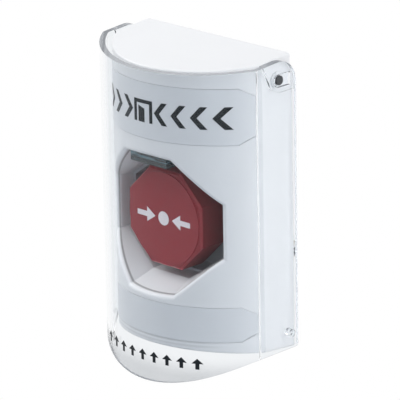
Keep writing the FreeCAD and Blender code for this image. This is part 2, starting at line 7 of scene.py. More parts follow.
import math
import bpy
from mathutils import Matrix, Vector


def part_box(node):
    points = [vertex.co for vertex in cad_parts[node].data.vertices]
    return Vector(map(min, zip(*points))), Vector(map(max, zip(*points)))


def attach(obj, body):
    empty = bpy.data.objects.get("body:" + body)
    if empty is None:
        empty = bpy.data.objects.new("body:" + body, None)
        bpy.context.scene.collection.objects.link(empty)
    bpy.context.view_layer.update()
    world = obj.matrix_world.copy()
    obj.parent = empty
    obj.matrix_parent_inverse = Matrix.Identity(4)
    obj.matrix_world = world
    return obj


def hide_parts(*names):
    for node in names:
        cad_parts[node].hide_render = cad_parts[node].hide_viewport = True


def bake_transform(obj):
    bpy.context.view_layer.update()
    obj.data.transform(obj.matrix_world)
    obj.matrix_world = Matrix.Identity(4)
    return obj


bl_info = {
    "name": "Evacuation station looks",
    "version": (1, 0, 0),
    "blender": (4, 5, 0),
    "location": "View3D > Sidebar > Station",
    "description": "Finishes, printed signs, fastenings and stage for a push button station",
    "category": "Object",
}

import bmesh
import bpy
import numpy as np
from bpy.props import (FloatProperty, FloatVectorProperty, IntProperty,
                       PointerProperty)
from mathutils import Matrix, Vector

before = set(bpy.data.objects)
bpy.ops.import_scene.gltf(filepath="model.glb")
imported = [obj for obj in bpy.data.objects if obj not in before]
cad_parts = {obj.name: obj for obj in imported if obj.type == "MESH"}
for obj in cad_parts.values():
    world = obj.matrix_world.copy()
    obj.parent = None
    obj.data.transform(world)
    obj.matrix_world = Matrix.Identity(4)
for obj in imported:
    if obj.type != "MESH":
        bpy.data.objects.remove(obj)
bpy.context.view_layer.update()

MM = 0.001


def cad_box(node):
    """Lowest and highest corner of a CAD node, in millimetres."""
    low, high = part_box(node)
    return np.array(low) / MM, np.array(high) / MM


# Sizes read from the CAD

HOUSING_LOW, HOUSING_HIGH = cad_box("housing")
COVER_LOW, COVER_HIGH = cad_box("cover")
CAP_LOW, CAP_HIGH = cad_box("button_cap")
LENS_TOP = cad_box("status_lens")[1][2]
STRIP_BOTTOM = cad_box("lower_label")[0][2]
BUTTON_Z = (CAP_LOW[2] + CAP_HIGH[2]) / 2

# Sizes that the boxes of the CAD pieces don't tell

PIVOT_PAD = 0.4            # height of the pad round a hinge pin, off the housing's side
NUB_HEIGHT = 0.7           # height of a detent nub, off the cover's side
HOUSING_SIDE_DEPTH = 17.0  # depth of the flat sides, from the wall to the start of the bow
COVER_SIDE_DEPTH = 21.7
FILM_THICKNESS = 0.1       # of a label, off the housing's front
MOUTH_REACH = 30.4         # half of a square that holds the mouth of the recess
LOWER_REFLECTION_Z = -64.0          # level about which a painted grey reflection fades in towards the cover's lower edge

# Sizes of what is added here

INK_CLEARANCE = 0.01       # gap between a printed layer and what it lies on
FIELD_CELL = 0.7           # longest cell in a printed field
RING_CELL = 0.5            # longest cell round a printed disc
SCREW_SIDES = 48
SCREW_RINGS = 15           # rings of points across a screw's head
PAN_HEAD = (2.7, 1.6, 1.5)  # head radius, head height and shank radius, here and below
SMALL_HEAD = (2.1, 1.6, 1.1)
CLAMP_HEAD = (2.5, 2.0, 1.5)
CLAMP_SHANK = 4.9          # length of a clamp screw under its head

# Camera and lamps: millimetres for the sensor and metres for the place that the lamps aim at

SENSOR_WIDTH = 36.0
LAMP_AIM = (0.0, -0.02, -0.01)


class Bow:
    """Plan with flat sides and an arc in front. The arc has the radius
    (half width squared + rise squared) / (2 rise), where rise is the depth in front of the
    flat sides, so y = centre - sqrt((radius + off) squared - x squared)."""

    def __init__(self, width, side_depth, depth):
        rise = depth - side_depth
        self.radius = ((width / 2) ** 2 + rise ** 2) / (2 * rise)
        self.centre_y = self.radius - depth

    def y(self, x, off=0.0):
        return self.centre_y - np.sqrt((self.radius + off) ** 2 - x ** 2)


HOUSING_BOW = Bow(HOUSING_HIGH[0] - HOUSING_LOW[0] - 2 * PIVOT_PAD, HOUSING_SIDE_DEPTH,
                  -HOUSING_LOW[1])
COVER_BOW = Bow(COVER_HIGH[0] - COVER_LOW[0] - 2 * NUB_HEIGHT, COVER_SIDE_DEPTH, -COVER_LOW[1])


# Shader arithmetic

class Signal:
    """A shader socket on which Python arithmetic adds Math nodes."""

    def __init__(self, finish, socket):
        self.finish = finish
        self.socket = socket

    def math(self, operation, *others):
        return self.finish.add("ShaderNodeMath", {"operation": operation},
                               dict(enumerate((self,) + others)))

    def __add__(self, other):
        return self.math("ADD", other)

    def __sub__(self, other):
        return self.math("SUBTRACT", other)

    def __rsub__(self, other):
        return (self * -1.0) + other

    def __mul__(self, other):
        return self.math("MULTIPLY", other)

    def __abs__(self):
        return self.math("ABSOLUTE")

    __radd__ = __add__

    def sqrt(self):
        return self.math("SQRT")

    def above(self, edge, soft):
        """0 below the edge and 1 above it, over a soft width."""
        return self.finish.add("ShaderNodeMapRange", {"interpolation_type": "SMOOTHSTEP"},
                               {"Value": self, "From Min": edge - soft / 2,
                                "From Max": edge + soft / 2})

    def below(self, edge, soft):
        return 1.0 - self.above(edge, soft)

    def between(self, low, low_soft, high, high_soft):
        """1 between two edges, each over its own soft width."""
        return self.above(low, low_soft) * self.below(high, high_soft)

    def either(self, other):
        """The larger of the two."""
        return self.math("MAXIMUM", other)


class Finish:
    """A procedural material under construction."""

    def __init__(self, name):
        self.material = bpy.data.materials.new(name)
        self.material.use_nodes = True
        self.tree = self.material.node_tree
        self.tree.nodes.clear()
        self.place = self.add("ShaderNodeTexCoord", output="Object")
        spread = self.add("ShaderNodeVectorMath", {"operation": "SCALE"},
                          {0: self.place, "Scale": 1 / MM})
        parts = self.node("ShaderNodeSeparateXYZ", {}, {0: spread})
        self.x, self.y, self.z = (Signal(self, parts.outputs[i]) for i in range(3))

    def node(self, kind, settings, values):
        """Adds a node: its settings first, then the values or links of its sockets."""
        made = self.tree.nodes.new(kind)
        for key, value in settings.items():
            setattr(made, key, value)
        for key, value in values.items():
            socket = made.inputs[key]
            if isinstance(value, Signal):
                self.tree.links.new(value.socket, socket)
            else:
                socket.default_value = value
        return made

    def add(self, kind, settings=None, values=None, output=0):
        return Signal(self, self.node(kind, settings or {}, values or {}).outputs[output])

    def noise(self, per_mm, detail=3.0, roughness=0.5, stretch=None):
        """Noise from 0 to 1, with so many cells to a millimetre."""
        source = self.place
        if stretch:
            source = self.add("ShaderNodeMapping", {"vector_type": "POINT"},
                              {"Vector": source, "Scale": stretch})
        return self.add("ShaderNodeTexNoise", {},
                        {"Vector": source, "Scale": per_mm / MM, "Detail": detail,
                         "Roughness": roughness})

    def mix(self, factor, first, second):
        """Colour that runs from the first to the second with the factor."""
        return self.add("ShaderNodeMix", {"data_type": "RGBA"},
                        {0: factor, 6: first, 7: second}, output=2)

    def clouded(self, base, per_mm, dark, pale):
        """The base colour with soft clouds that run between two shades of it."""
        return self.mix(self.noise(per_mm, detail=2.0), shade(base, dark), shade(base, pale))

    def bump(self, height, distance):
        """Normal from a height of 0 to 1 that stands for a distance in millimetres."""
        return self.add("ShaderNodeBump", {}, {"Height": height, "Distance": distance * MM})

    def fade(self, factor, first, second):
        """Surface that runs from the first shader to the second with the factor."""
        return self.add("ShaderNodeMixShader", {}, {0: factor, 1: first, 2: second})

    def shader(self, **values):
        """Principled surface. Each keyword is the name of a socket in small letters."""
        names = {name.replace("_", " ").title().replace("Ior", "IOR"): value
                 for name, value in values.items()}
        return self.add("ShaderNodeBsdfPrincipled", {}, names, output="BSDF")

    def done(self, surface):
        end = self.tree.nodes.new("ShaderNodeOutputMaterial")
        self.tree.links.new(surface.socket, end.inputs["Surface"])
        return self.material


def colour(value):
    return (*value, 1.0)


def shade(value, factor):
    """A colour made darker or lighter by a factor."""
    return (*(min(channel * factor, 1.0) for channel in value), 1.0)


# Finishes

def moulded(name, base, roughness, grain, grain_depth):
    """Moulded plastic: faint flow clouds in the colour, and a fine eroded grain."""
    finish = Finish(name)
    fine = finish.noise(grain, detail=2.0, roughness=0.6)
    return finish.done(finish.shader(
        base_color=finish.clouded(base, 0.03, 0.965, 1.02),
        roughness=roughness + (fine - 0.5) * 0.12,
        normal=finish.bump(fine, grain_depth)))


def housing_finish(base):
    """White moulding with flow clouds and a fine eroded grain. Round the mouth of the recess,
    at an even depth s = y - bow(x) below the bowed front, runs the shallow witness groove of the
    core that forms it, darkened in colour as painted shade, with a painted highlight on the
    rolled lip outside it. Under the lower label run two soft lines of painted shade, one below
    the other, that fade out towards the sides."""
    finish = Finish("white_moulding")
    fine = finish.noise(3.0, detail=2.0, roughness=0.6)
    bow = HOUSING_BOW.centre_y - (HOUSING_BOW.radius ** 2 - finish.x * finish.x).sqrt()
    deep = finish.y - bow
    mouth = (abs(finish.x).below(MOUTH_REACH, 0.2)
             * abs(finish.z - BUTTON_Z).below(MOUTH_REACH, 0.2))
    # painted shade: the colour darkens to 0.45 of the moulding along the shallow groove round
    # the mouth
    witness_groove_shade = deep.between(1.75, 0.5, 2.6, 0.3) * mouth
    # painted highlight: the rolled lip outside the groove is painted paler
    lip_highlight = deep.between(0.3, 0.4, 1.5, 0.5) * mouth
    under = STRIP_BOTTOM - finish.z
    # painted shade: two soft darker lines just under the lower label, fading out towards the
    # sides
    upper_shade_line = under.between(0.15, 0.3, 0.7, 0.5) * 0.55
    lower_shade_line = under.between(1.5, 0.6, 2.4, 0.7) * 0.35
    near_front = abs(finish.x).below(27.0, 12.0) * deep.below(1.0, 0.5)
    body = finish.mix(lip_highlight, finish.clouded(base, 0.03, 0.965, 1.02), shade(base, 1.12))
    body = finish.mix(upper_shade_line.either(lower_shade_line) * near_front, body, shade(base, 0.55))
    return finish.done(finish.shader(
        base_color=finish.mix(witness_groove_shade, body, shade(base, 0.45)),
        roughness=0.34 + (fine - 0.5) * 0.12, coat_weight=0.15, coat_roughness=0.12,
        normal=finish.bump(fine - witness_groove_shade, 0.012)))


def brushed(name, base, roughness, stretch):
    """Drawn or rolled steel: long faint lines and cloudy plating."""
    finish = Finish(name)
    lines = finish.noise(0.9, detail=4.0, roughness=0.65, stretch=stretch)
    clouds = finish.noise(0.12, detail=3.0)
    return finish.done(finish.shader(
        base_color=finish.mix(lines * 0.5 + clouds * 0.5, shade(base, 0.8), shade(base, 1.12)),
        metallic=1.0,
        roughness=roughness + (lines - 0.5) * 0.15 + (clouds - 0.5) * 0.1,
        normal=finish.bump(lines, 0.01)))


def film_finish(base):
    """Satin film: faint clouds and an even fine tooth."""
    finish = Finish("satin_film")
    tooth = finish.noise(4.0, detail=1.0)
    return finish.done(finish.shader(
        base_color=finish.clouded(base, 0.05, 0.98, 1.01),
        roughness=0.42 + (tooth - 0.5) * 0.1, normal=finish.bump(tooth, 0.004)))


def lens_finish(base):
    """Smoked lens: dark and glossy, with pale streaks of painted reflection in its upper half.
    """
    finish = Finish("smoked_lens")
    upper = finish.z.above(LENS_TOP - 3.4, 0.4)
    # painted reflection: pale streaks in the dark lens, mostly in its upper half
    reflection_streaks = finish.noise(0.5, detail=3.0, stretch=(0.22, 1.0, 3.0)).above(0.52, 0.16)
    return finish.done(finish.shader(
        base_color=finish.mix(reflection_streaks * (0.12 + upper * 0.88), colour(base), shade(base, 8.0)),
        roughness=0.14, coat_weight=0.5, coat_roughness=0.06))


def button_finish(base):
    """Satin red moulding: flow clouds, fine grain, a duller skirt darkened with painted shade,
    and a painted highlight along the lower bevel."""
    finish = Finish("red_button")
    fine = finish.noise(5.0, detail=2.0)
    # painted shade: the skirt is darkened to 0.7 of the red; its extra roughness is real
    shaded_dull_skirt = finish.y.above(CAP_LOW[1] + 1.4, 0.8)
    # painted highlight: the lower bevel is painted paler
    bevel_highlight = finish.z.below(CAP_LOW[2] + 0.55, 0.4) * finish.y.below(CAP_LOW[1] + 1.3, 0.5)
    body = finish.mix(bevel_highlight * 0.6, finish.clouded(base, 0.08, 0.93, 1.06), shade(base, 3.0))
    return finish.done(finish.shader(
        base_color=finish.mix(shaded_dull_skirt, body, shade(base, 0.7)),
        roughness=0.32 + (fine - 0.5) * 0.1 + shaded_dull_skirt * 0.1, specular_ior_level=0.25,
        normal=finish.bump(fine, 0.008)))


def pin_finish(name, base, metallic):
    """Turned steel: fine rings left by the tool along the pin."""
    finish = Finish(name)
    turning = finish.noise(1.2, detail=3.0, stretch=(6.0, 1.0, 1.0))
    return finish.done(finish.shader(
        base_color=finish.mix(turning, shade(base, 0.7), shade(base, 1.1)),
        metallic=metallic, roughness=0.32 + (turning - 0.5) * 0.2,
        normal=finish.bump(turning, 0.006)))


def clear_finish(tint, gloss, edge):
    """Clear polycarbonate: it bends what is seen through it and has hairline scratches. Seen
    head on, only a share of it mirrors the room. Light falls through it freely, and a ray that
    has run along inside the wall is let out. The cut edges above and below are painted grey as
    painted shade, and towards the lower edge a faint, uneven, duller grey is mixed in as painted
    reflection."""
    finish = Finish("clear_polycarbonate")
    ior = 1.49
    hair = finish.noise(1.5, detail=5.0, roughness=0.7, stretch=(1.0, 1.0, 0.12))
    rough = 0.012 + hair.above(0.70, 0.05) * 0.1
    bending = finish.add("ShaderNodeBsdfRefraction", {},
                         {"Color": colour(tint), "Roughness": rough, "IOR": ior})
    glass = finish.shader(base_color=colour(tint), transmission_weight=1.0, ior=ior,
                          roughness=rough)
    grazing = finish.add("ShaderNodeFresnel", {}, {"IOR": ior}).above(0.2, 0.3)
    body = finish.fade(grazing.either(gloss), bending, glass)
    facing = finish.add("ShaderNodeVectorTransform",
                        {"vector_type": "NORMAL", "convert_from": "WORLD",
                         "convert_to": "OBJECT"},
                        {0: finish.add("ShaderNodeNewGeometry", output="True Normal")})
    upright = finish.add("ShaderNodeSeparateXYZ", {}, {0: facing}, output="Z")
    # painted shade: faces that look up or down, the cut edges, take on a grey surface
    cut = abs(upright).above(0.6, 0.3) * 0.75
    # painted reflection: a faint, uneven grey mixed in below this level
    lower_grey_reflection = finish.z.below(LOWER_REFLECTION_Z, 10.0) * (0.17 + finish.noise(0.06, detail=2.0) * 0.06)
    # grey surface of painted shade on the cut edges and of painted reflection at the lower edge
    grey = finish.shader(base_color=colour(edge), roughness=0.35)
    body = finish.fade(cut.either(lower_grey_reflection), body, grey)
    lit = finish.add("ShaderNodeLightPath", output="Is Shadow Ray")
    trapped = finish.add("ShaderNodeLightPath", output="Ray Depth").math("GREATER_THAN", 5.5)
    open_light = finish.add("ShaderNodeBsdfTransparent", {}, {"Color": colour(tint)})
    return finish.done(finish.fade(lit.either(trapped), body, open_light))


def ink_finish(name, base, roughness):
    """Printed ink: an even layer with a faint screen mottle."""
    finish = Finish(name)
    mottle = finish.noise(2.2, detail=2.0)
    return finish.done(finish.shader(
        base_color=finish.mix(mottle, shade(base, 0.9), shade(base, 1.1)),
        specular_ior_level=0.15, roughness=roughness + (mottle - 0.5) * 0.1,
        normal=finish.bump(mottle, 0.002)))


def dress(node, material):
    """Gives a CAD node's slots one material."""
    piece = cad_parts[node]
    for slot in piece.material_slots:
        slot.material = material
    if not piece.material_slots:
        piece.data.materials.append(material)


# Surfaces

def quads(rows, columns):
    """Corner numbers of the quads of a grid, row by row."""
    corner = (np.arange(rows - 1)[:, None] * columns + np.arange(columns - 1)).ravel()
    return np.stack([corner, corner + 1, corner + columns + 1, corner + columns], axis=1)


def mesh_piece(name, patches, material, body, outward=None):
    """One mesh from grids of points. Neighbours in a grid make quads, equal points are
    merged, and a patch is turned where its faces look against the outward direction. It
    rides on the body, where one is given."""
    points, faces, start = [], [], 0
    for patch in patches:
        rows, columns = patch.shape[:2]
        cells = quads(rows, columns)
        if outward is not None:
            side_a = patch[-1, 0] - patch[0, 0] + patch[-1, -1] - patch[0, -1]
            side_b = patch[0, -1] - patch[0, 0] + patch[-1, -1] - patch[-1, 0]
            if np.dot(np.cross(side_b, side_a), outward) < 0:
                cells = cells[:, ::-1]
        points.append(patch.reshape(-1, 3))
        faces.append(cells + start)
        start += rows * columns
    mesh = bpy.data.meshes.new(name)
    mesh.from_pydata((np.concatenate(points) * MM).tolist(), [],
                     np.concatenate(faces).tolist())
    shell = bmesh.new()
    shell.from_mesh(mesh)
    bmesh.ops.remove_doubles(shell, verts=shell.verts, dist=1e-6)
    bmesh.ops.dissolve_degenerate(shell, edges=shell.edges, dist=1e-7)
    if outward is None:
        bmesh.ops.recalc_face_normals(shell, faces=shell.faces)
    shell.to_mesh(mesh)
    shell.free()
    mesh.validate()
    mesh.materials.append(material)
    piece = bpy.data.objects.new(name, mesh)
    bpy.context.scene.collection.objects.link(piece)
    if body:
        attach(piece, body)
    return piece


def thicken(piece, thickness):
    """Closes an open sheet into a slab whose front stays where it is."""
    solid = piece.modifiers.new("thickness", "SOLIDIFY")
    solid.thickness = thickness * MM
    solid.offset = -1.0


def printed(name, points, ink, body, thickness):
    """A printed layer that looks forwards, with its outer face at the points."""
    thicken(mesh_piece(name, points, ink, body, outward=(0, -1, 0)), thickness)


def four_sided(a, b, c, d):
    """Points of a flat field: (1-u)(1-v) a + u (1-v) b + u v c + (1-u) v d."""
    a, b, c, d = (np.array(corner, float) for corner in (a, b, c, d))
    longest = max(np.linalg.norm(b - a), np.linalg.norm(c - d))
    highest = max(np.linalg.norm(d - a), np.linalg.norm(c - b))
    u = np.linspace(0, 1, max(2, math.ceil(longest / FIELD_CELL) + 1))[None, :, None]
    v = np.linspace(0, 1, max(2, math.ceil(highest / FIELD_CELL) + 1))[:, None, None]
    return (1 - u) * (1 - v) * a + u * (1 - v) * b + u * v * c + (1 - u) * v * d


def rectangle(x0, x1, z0, z1):
    """Flat field with level and upright edges."""
    return four_sided((x0, z0), (x1, z0), (x1, z1), (x0, z1))


def disc(x, z, radius):
    """Points of a full disc: (x + r cos t, z + r sin t)."""
    steps = max(8, math.ceil(radius * 2 * np.pi / RING_CELL))
    t = np.linspace(0, 2 * np.pi, steps + 1)[None, :]
    r = np.linspace(0, radius, 4)[:, None]
    return np.stack([x + r * np.cos(t), z + r * np.sin(t)], axis=2)


def chevron(x, z, width, height, stroke, way):
    """Two bars that meet in a point, to the right for way 1 and to the left for -1."""
    back, tip, half = x - way * width / 2, x + way * (width / 2 - stroke), height / 2
    lean = way * stroke
    return [four_sided((back, z + half), (back + lean, z + half), (tip + lean, z), (tip, z)),
            four_sided((tip, z), (tip + lean, z), (back + lean, z - half), (back, z - half))]


def doorway(x, z, width, height, stroke):
    """A door frame of three bars, with a leaf that stands ajar in it."""
    half, up = width / 2, height / 2
    inner = half - stroke
    leaf = inner - 0.9
    return [rectangle(x - half, x - inner, z - up, z + up),
            rectangle(x + inner, x + half, z - up, z + up),
            rectangle(x - inner, x + inner, z + up - stroke, z + up),
            four_sided((x - leaf, z - up), (x + leaf * 0.35, z - up),
                       (x + leaf * 0.35, z + up - 2.4 * stroke),
                       (x - leaf, z + up - 1.7 * stroke))]


def up_arrow(x, z, width, height, stroke):
    """A shaft with a barbed head above it."""
    half, up = width / 2, height / 2
    shoulder = z + up - width / 2
    return [rectangle(x - stroke / 2, x + stroke / 2, z - up, shoulder),
            four_sided((x - half, shoulder), (x + half, shoulder), (x, z + up), (x, z + up))]


def lay_on(bow, fields, lift):
    """Carries flat fields onto a bowed front, a small height off its surface."""
    return [np.stack([f[..., 0], bow.y(f[..., 0], lift), f[..., 1]], axis=2) for f in fields]


def lay_flat(fields, y):
    """Carries flat fields onto an upright plane."""
    return [np.stack([f[..., 0], np.full(f.shape[:2], y), f[..., 1]], axis=2) for f in fields]


def revolve(radius, height, t):
    """Profile carried round its own axis: (r cos t, r sin t, h), with t along the columns."""
    x, y = radius * np.cos(t), radius * np.sin(t)
    return np.stack(np.broadcast_arrays(x, y, height), axis=2)


def screw_points(base, axis, head_radius, head_height, shank_radius, shank_length):
    """A pan head with a cross recess and a threaded shank, along an axis from the seat.
    Over the head h = height sqrt(1 - 0.35 (r / R)^2) less a recess that is full where the
    smaller of |x| and |y| is under half the blade's width and the larger under its reach.
    Down the shank r = R - 0.28 tri(h / pitch + t / 2 pi), less for thin screws, and the
    thread runs out over one pitch at both ends."""
    t = np.linspace(0, 2 * np.pi, SCREW_SIDES + 1)[None, :]
    r = np.linspace(0, head_radius, SCREW_RINGS)[:, None]
    x, y = abs(r * np.cos(t)), abs(r * np.sin(t))
    near, far = np.minimum(x, y), np.maximum(x, y)
    half_blade, reach = 0.17 * head_radius, 0.62 * head_radius
    cut = (np.clip((half_blade - near) / (0.5 * half_blade) + 1, 0, 1)
           * np.clip((reach - far) / 0.4, 0, 1))
    crown = head_height * np.sqrt(1 - 0.35 * (r / head_radius) ** 2)
    top = revolve(r, crown - 0.62 * head_height * cut, t)
    seat = revolve(np.array([[head_radius], [shank_radius]]), 0.0, t)
    pitch = 0.5 + 0.25 * shank_radius / 1.5
    down = np.linspace(0, shank_length, max(12, int(shank_length / pitch * 4)))[:, None]
    wave = abs(((down / pitch + t / (2 * np.pi)) % 1.0) - 0.5) * 2
    fade = np.clip(down / pitch, 0, 1) * np.clip((shank_length - down) / pitch, 0, 1)
    core = shank_radius - 0.28 * wave * fade * min(1.0, shank_radius / 1.5)
    shank = revolve(core, -down, t)
    end = revolve(np.zeros((1, 1)), -shank_length, t)
    local = np.concatenate([top, seat, shank[1:], end])
    axis = np.array(axis, float)
    side = np.cross(axis, (0.0, 0.0, 1.0) if abs(axis[2]) < 0.5 else (1.0, 0.0, 0.0))
    other = np.cross(axis, side)
    return (np.array(base) + local[..., :1] * side + local[..., 1:2] * other
            + local[..., 2:] * axis)


# Settings

class STATION_PG_finishes(bpy.types.PropertyGroup):
    """Colours of the finishes."""

    housing: FloatVectorProperty(name="Housing", description="Moulded housing",
                                 subtype="COLOR", default=(0.83, 0.832, 0.842))
    film: FloatVectorProperty(name="Label film", description="Satin film of the two labels",
                              subtype="COLOR", default=(0.755, 0.765, 0.785))
    lens: FloatVectorProperty(name="Lens", description="Smoked status lens",
                              subtype="COLOR", default=(0.012, 0.022, 0.026))
    tint: FloatVectorProperty(name="Cover", description="Tint of each face of the clear cover",
                              subtype="COLOR", default=(0.925, 0.938, 0.95))
    cover_gloss: FloatProperty(name="Cover gloss", description="Share of the cover's surface "
                               "that mirrors the room", default=0.3, min=0.0, max=1.0)
    # grey of the painted shade on the cover's cut edges and the painted reflection near its
    # lower edge
    cover_edge_shade: FloatVectorProperty(name="Cover edge", description="Cut edges of the cover",
                                    subtype="COLOR", default=(0.27, 0.285, 0.31))
    button: FloatVectorProperty(name="Button", description="Moulded push button",
                                subtype="COLOR", default=(0.295, 0.028, 0.038))
    # mid grey, darker than the white well round the button, as painted shade for the deep well
    sleeve: FloatVectorProperty(name="Guide", description="Glass-filled guide sleeve",
                                subtype="COLOR", default=(0.52, 0.53, 0.55))
    nylon: FloatVectorProperty(name="Carrier", description="Glass-filled contact carrier",
                               subtype="COLOR", default=(0.012, 0.012, 0.014))
    block: FloatVectorProperty(name="Switch block", description="Switch block moulding",
                               subtype="COLOR", default=(0.46, 0.47, 0.48))
    acetal: FloatVectorProperty(name="Plungers", description="Pusher plate and plungers",
                                subtype="COLOR", default=(0.74, 0.74, 0.70))
    steel: FloatVectorProperty(name="Steel", description="Pins, stem and spring",
                               subtype="COLOR", default=(0.42, 0.43, 0.45))
    zinc: FloatVectorProperty(name="Zinc", description="Plated plate and screws",
                              subtype="COLOR", default=(0.58, 0.59, 0.61))
    pin: FloatVectorProperty(name="Hinge pins", description="Blackened hinge pins",
                             subtype="COLOR", default=(0.06, 0.063, 0.068))
    nickel: FloatVectorProperty(name="Clamps", description="Nickel-plated clamp strips",
                                subtype="COLOR", default=(0.60, 0.58, 0.54))
    dark_ink: FloatVectorProperty(name="Dark ink", description="Signs on header and cover",
                                  subtype="COLOR", default=(0.008, 0.012, 0.016))
    white_ink: FloatVectorProperty(name="White ink", description="Sign on the button",
                                   subtype="COLOR", default=(0.86, 0.80, 0.82))


class STATION_PG_signs(bpy.types.PropertyGroup):
    """Sizes of the printed signs, in millimetres."""

    header_height: FloatProperty(name="Header sign height", description="Height of the row",
                                 default=9.2, unit="NONE")
    header_reach: FloatProperty(name="Header reach", description="Half width of the row",
                                default=33.6, unit="NONE")
    header_z: FloatProperty(name="Header sign level", description="Middle of the row",
                            default=39.2, unit="NONE")
    lift_count: IntProperty(name="Lift arrows", description="Arrows on the cover's lower edge",
                            default=9, min=1)
    lift_height: FloatProperty(name="Lift arrow height", description="Height of an arrow",
                               default=4.6, unit="NONE")
    lift_reach: FloatProperty(name="Lift reach", description="Half width of the row of arrows",
                              default=24.5, unit="NONE")
    lift_z: FloatProperty(name="Lift arrow level", description="Middle of the arrows",
                          default=-61.8, unit="NONE")
    layer: FloatProperty(name="Ink thickness", description="Thickness of a printed layer",
                         default=0.05, unit="NONE")


class STATION_PG_stage(bpy.types.PropertyGroup):
    """Camera, lamps and floor."""

    azimuth: FloatProperty(name="Azimuth", description="Camera direction, right of the front",
                           subtype="ANGLE", default=math.radians(44.722))
    elevation: FloatProperty(name="Elevation", description="Camera direction above level",
                             subtype="ANGLE", default=math.radians(18.327))
    roll: FloatProperty(name="Roll", description="Camera turned about its own axis",
                        subtype="ANGLE", default=math.radians(-1.064))
    eye: FloatVectorProperty(name="Eye", description="Place of the camera",
                             subtype="XYZ", unit="LENGTH", default=(0.95013, -0.97092, 0.44182))
    lens: FloatProperty(name="Lens", description="Focal length on a 36 mm sensor",
                        unit="CAMERA", default=318.48)
    world: FloatProperty(name="Room light", description="Strength of the even light",
                         default=0.44)
    daylight: FloatVectorProperty(name="Room tint", description="Colour of the even light",
                                  subtype="COLOR", default=(0.80, 0.895, 1.0))
    side: FloatProperty(name="Side", description="Lamp at the right, a little behind",
                        unit="POWER", default=16.5)
    top: FloatProperty(name="Top", description="Lamp above the front", unit="POWER",
                       default=13.5)
    left: FloatProperty(name="Left", description="Lamp at the left", unit="POWER", default=13.0)
    front: FloatProperty(name="Front", description="Lamp at the front right", unit="POWER",
                         default=2.4)
    warm: FloatVectorProperty(name="Lamp tint", description="Colour of the lamps",
                              subtype="COLOR", default=(1.0, 0.965, 0.93))
    floor_drop: FloatProperty(name="Floor", description="Floor below the middle",
                              unit="LENGTH", default=0.30)


# Operators

class STATION_OT_finishes(bpy.types.Operator):
    """Gives every CAD piece its finish"""

    bl_idname = "station.finishes"
    bl_label = "Finishes"

    def execute(self, context):
        tones = context.scene.station_finishes
        dress("housing", housing_finish(tones.housing))
        film = film_finish(tones.film)
        dress("header_label", film)
        dress("lower_label", film)
        dress("status_lens", lens_finish(tones.lens))
        dress("cover", clear_finish(tones.tint, tones.cover_gloss, tones.cover_edge_shade))
        dress("button_cap", button_finish(tones.button))
        # the sleeve's grey is painted shade for the deep well round the button
        dress("guide_sleeve", moulded("sleeve_grey_painted_shade", tones.sleeve, 0.5, 4.0, 0.03))
        dress("contact_carrier", moulded("black_nylon", tones.nylon, 0.5, 4.0, 0.03))
        block = moulded("block_moulding", tones.block, 0.48, 3.5, 0.02)
        acetal = moulded("white_acetal", tones.acetal, 0.4, 2.0, 0.006)
        for side in ("left", "right"):
            dress("contact_block_" + side, block)
            dress("contact_plunger_" + side, acetal)
        dress("pusher_plate", acetal)
        for node in ("hinge_pin_left", "hinge_pin_right"):
            dress(node, pin_finish("blackened_" + node, tones.pin, 0.35))
        turned = pin_finish("turned_steel", tones.steel, 1.0)
        for node in ("button_stem", "stem_clip"):
            dress(node, turned)
        dress("back_plate", brushed("plated_sheet", tones.zinc, 0.36, (1.0, 1.0, 0.08)))
        return {"FINISHED"}


class STATION_OT_header_signs(bpy.types.Operator):
    """Prints chevrons that lead to a doorway on the header label"""

    bl_idname = "station.header_signs"
    bl_label = "Header signs"

    def execute(self, context):
        signs = context.scene.station_signs
        height, reach, level = signs.header_height, signs.header_reach, signs.header_z
        width, stroke, count = 5.9, 2.4, 4
        door_width, door_stroke, door_room = 9.6, 1.5, 5.6
        fields = doorway(0.0, level, door_width, height, door_stroke)
        pitch = (reach - width - door_room) / (count - 1)
        for step in range(count):
            x = reach - width / 2 - step * pitch
            fields += chevron(-x, level, width, height, stroke, 1)
            fields += chevron(x, level, width, height, stroke, -1)
        off = FILM_THICKNESS + signs.layer + INK_CLEARANCE
        ink = ink_finish("dark_header_ink", context.scene.station_finishes.dark_ink, 0.45)
        printed("header_signs", lay_on(HOUSING_BOW, fields, off), ink, "station",
                signs.layer)
        return {"FINISHED"}


class STATION_OT_button_sign(bpy.types.Operator):
    """Prints a dot between two inward arrows on the button's disc"""

    bl_idname = "station.button_sign"
    bl_label = "Button sign"

    def execute(self, context):
        signs = context.scene.station_signs
        dot, tail, barb, tip = 2.9, 14.6, 9.2, 4.6
        half_shaft, half_head = 1.1, 3.1
        fields = [disc(0.0, BUTTON_Z, dot)]
        for side in (-1, 1):
            fields += [rectangle(side * tail, side * barb, BUTTON_Z - half_shaft,
                                 BUTTON_Z + half_shaft),
                       four_sided((side * barb, BUTTON_Z - half_head),
                                  (side * barb, BUTTON_Z + half_head),
                                  (side * tip, BUTTON_Z), (side * tip, BUTTON_Z))]
        ink = ink_finish("white_button_ink", context.scene.station_finishes.white_ink, 0.4)
        front = CAP_LOW[1] - signs.layer - INK_CLEARANCE
        printed("button_sign", lay_flat(fields, front), ink, "push_button",
                signs.layer)
        return {"FINISHED"}


class STATION_OT_lift_arrows(bpy.types.Operator):
    """Prints a row of lift arrows along the cover's lower edge"""

    bl_idname = "station.lift_arrows"
    bl_label = "Lift arrows"

    def execute(self, context):
        signs = context.scene.station_signs
        width, stroke = 4.4, 1.5
        fields = []
        for x in np.linspace(-signs.lift_reach, signs.lift_reach, signs.lift_count):
            fields += up_arrow(float(x), signs.lift_z, width, signs.lift_height, stroke)
        ink = ink_finish("dark_cover_ink", context.scene.station_finishes.dark_ink, 0.4)
        off = signs.layer + INK_CLEARANCE
        printed("lift_arrows", lay_on(COVER_BOW, fields, off), ink, "lift_cover",
                signs.layer)
        return {"FINISHED"}


